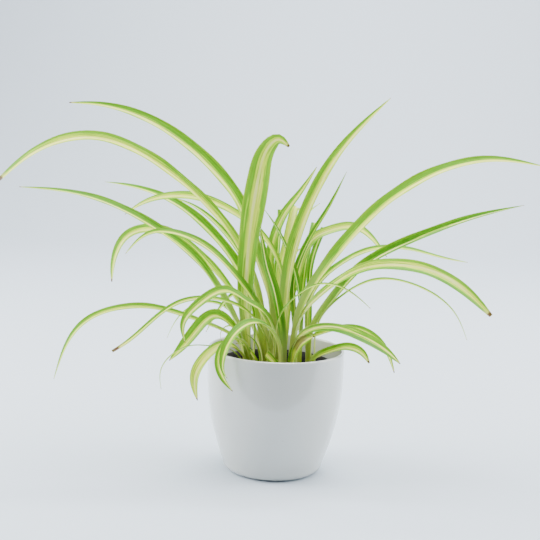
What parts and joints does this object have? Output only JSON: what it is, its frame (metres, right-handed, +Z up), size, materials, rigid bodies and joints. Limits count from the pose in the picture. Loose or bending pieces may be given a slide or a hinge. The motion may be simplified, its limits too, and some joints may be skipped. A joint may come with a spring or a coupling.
{
  "type": "potted spider plant",
  "caption": "Leafy house plant with long arching striped leaves, growing in a plastic nursery pot that stands inside a round glazed cover pot.",
  "frame": {"origin": "centre of the cover pot's flat underside, on the surface it stands on", "axes": "+Z up along the pot's axis, +X to the right and -Y towards the front, where the trimmed leaf stubs are"},
  "size_m": [0.5519, 0.1813, 0.3866],
  "materials": {
    "white_glaze": "smooth glossy white glaze",
    "black_plastic": "thin dark grey moulded plastic with a slight sheen",
    "potting_soil": null,
    "leaf_base": null,
    "leaf": null
  },
  "bodies": {
    "root": {"cover_pot": "white_glaze", "nursery_pot": "black_plastic", "potting_soil": "potting_soil", "crown_left": "leaf_base", "crown_front": "leaf_base", "crown_right": "leaf_base", "crown_rear": "leaf_base", "leaf_left_highest": "leaf", "leaf_left_longest": "leaf", "leaf_left_low_arch": "leaf", "leaf_left_inner": "leaf", "leaf_left_back_arch": "leaf", "leaf_left_slim": "leaf", "leaf_left_hanging": "leaf", "leaf_left_crossing": "leaf", "leaf_left_curved_down": "leaf", "leaf_left_brown_tip": "leaf", "leaf_left_small_arch": "leaf", "leaf_left_small_fold": "leaf", "leaf_left_low_long": "leaf", "leaf_left_broad_fold": "leaf", "leaf_left_thread": "leaf", "leaf_front_left_broad": "leaf", "leaf_front_arch": "leaf", "leaf_front_hanging": "leaf", "leaf_front_small": "leaf", "leaf_front_green": "leaf", "leaf_left_curl": "leaf", "leaf_centre_widest": "leaf", "leaf_centre_behind": "leaf", "leaf_centre_green": "leaf", "leaf_right_highest": "leaf", "leaf_centre_back_tall": "leaf", "leaf_centre_back_blunt": "leaf", "leaf_centre_back_cream": "leaf", "leaf_right_back_tip": "leaf", "leaf_right_narrow": "leaf", "leaf_back_blunt_short": "leaf", "leaf_back_blunt_second": "leaf", "leaf_right_back_arch": "leaf", "leaf_right_back_drop": "leaf", "leaf_right_longest": "leaf", "leaf_right_second": "leaf", "leaf_right_slim": "leaf", "leaf_right_drooping": "leaf", "leaf_right_thin_arch": "leaf", "leaf_right_thread": "leaf", "leaf_right_low_front": "leaf", "leaf_right_low_back": "leaf", "leaf_right_over_rim": "leaf", "leaf_right_dead_tip": "leaf", "leaf_right_scarred": "leaf", "cut_leaf_left": "leaf", "cut_leaf_right": "leaf"}
  },
  "joints": []
}
